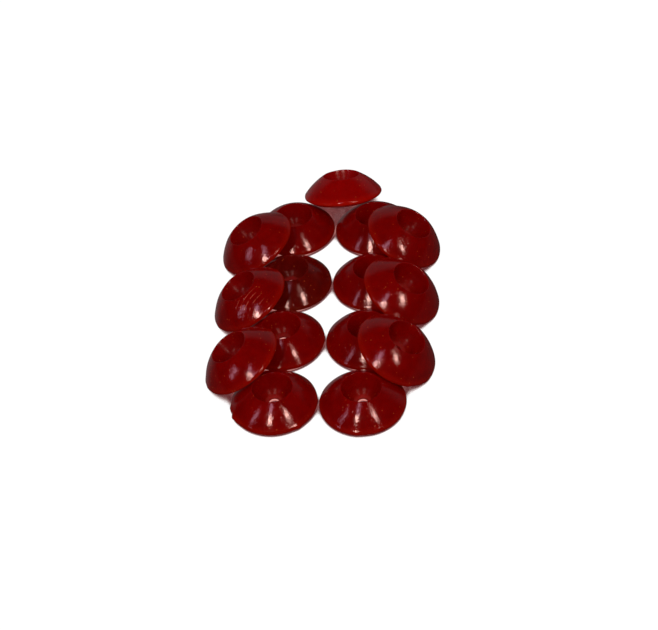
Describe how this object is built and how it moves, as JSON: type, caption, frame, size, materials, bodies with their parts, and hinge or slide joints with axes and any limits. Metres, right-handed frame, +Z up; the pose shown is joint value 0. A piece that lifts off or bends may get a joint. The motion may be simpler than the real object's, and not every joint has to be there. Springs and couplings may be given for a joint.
{
  "type": "domed friction pad set",
  "caption": "Loose domed rubber friction pads with funnel recesses, laid in two columns with more pads leaning on them.",
  "frame": {"origin": "middle of the layout's footprint, on the surface that the pads rest on", "axes": "+Z up out of the surface, +X right along a row of two flat pads, +Y back along a column of four"},
  "size_m": [0.0688, 0.1134, 0.0151],
  "materials": {
    "red_rubber": "glossy, slightly translucent dark red"
  },
  "bodies": {
    "left_pad_1": {"left_pad_1": "red_rubber"},
    "left_pad_2": {"left_pad_2": "red_rubber"},
    "left_pad_3": {"left_pad_3": "red_rubber"},
    "left_pad_4": {"left_pad_4": "red_rubber"},
    "right_pad_1": {"right_pad_1": "red_rubber"},
    "right_pad_2": {"right_pad_2": "red_rubber"},
    "right_pad_3": {"right_pad_3": "red_rubber"},
    "right_pad_4": {"right_pad_4": "red_rubber"},
    "left_leaner_1": {"left_leaner_1": "red_rubber"},
    "left_leaner_2": {"left_leaner_2": "red_rubber"},
    "left_leaner_3": {"left_leaner_3": "red_rubber"},
    "right_leaner_1": {"right_leaner_1": "red_rubber"},
    "right_leaner_2": {"right_leaner_2": "red_rubber"},
    "right_leaner_3": {"right_leaner_3": "red_rubber"},
    "rear_leaner": {"rear_leaner": "red_rubber"}
  },
  "joints": [
    {"name": "left_pad_3_slide", "type": "slide", "parent": "left_pad_4", "child": "left_pad_3", "axis": [0, -1, 0], "range_m": [0, 0.015]},
    {"name": "left_pad_2_slide", "type": "slide", "parent": "left_pad_3", "child": "left_pad_2", "axis": [0, -1, 0], "range_m": [0, 0.015]},
    {"name": "left_pad_1_slide", "type": "slide", "parent": "left_pad_2", "child": "left_pad_1", "axis": [0, -1, 0], "range_m": [0, 0.015]},
    {"name": "right_column_slide", "type": "slide", "parent": "left_pad_4", "child": "right_pad_4", "axis": [1, 0, 0], "range_m": [0, 0.015]},
    {"name": "right_pad_3_slide", "type": "slide", "parent": "right_pad_4", "child": "right_pad_3", "axis": [0, -1, 0], "range_m": [0, 0.015]},
    {"name": "right_pad_2_slide", "type": "slide", "parent": "right_pad_3", "child": "right_pad_2", "axis": [0, -1, 0], "range_m": [0, 0.015]},
    {"name": "right_pad_1_slide", "type": "slide", "parent": "right_pad_2", "child": "right_pad_1", "axis": [0, -1, 0], "range_m": [0, 0.015]},
    {"name": "left_leaner_1_lift", "type": "slide", "parent": "left_pad_2", "child": "left_leaner_1", "axis": [0, 0, 1], "range_m": [0, 0.02]},
    {"name": "left_leaner_2_lift", "type": "slide", "parent": "left_pad_3", "child": "left_leaner_2", "axis": [0, 0, 1], "range_m": [0, 0.02]},
    {"name": "left_leaner_3_lift", "type": "slide", "parent": "left_pad_4", "child": "left_leaner_3", "axis": [0, 0, 1], "range_m": [0, 0.02]},
    {"name": "right_leaner_1_lift", "type": "slide", "parent": "right_pad_2", "child": "right_leaner_1", "axis": [0, 0, 1], "range_m": [0, 0.02]},
    {"name": "right_leaner_2_lift", "type": "slide", "parent": "right_pad_3", "child": "right_leaner_2", "axis": [0, 0, 1], "range_m": [0, 0.02]},
    {"name": "right_leaner_3_lift", "type": "slide", "parent": "right_pad_4", "child": "right_leaner_3", "axis": [0, 0, 1], "range_m": [0, 0.02]},
    {"name": "rear_leaner_lift", "type": "slide", "parent": "left_pad_4", "child": "rear_leaner", "axis": [0, 0, 1], "range_m": [0, 0.02]}
  ]
}
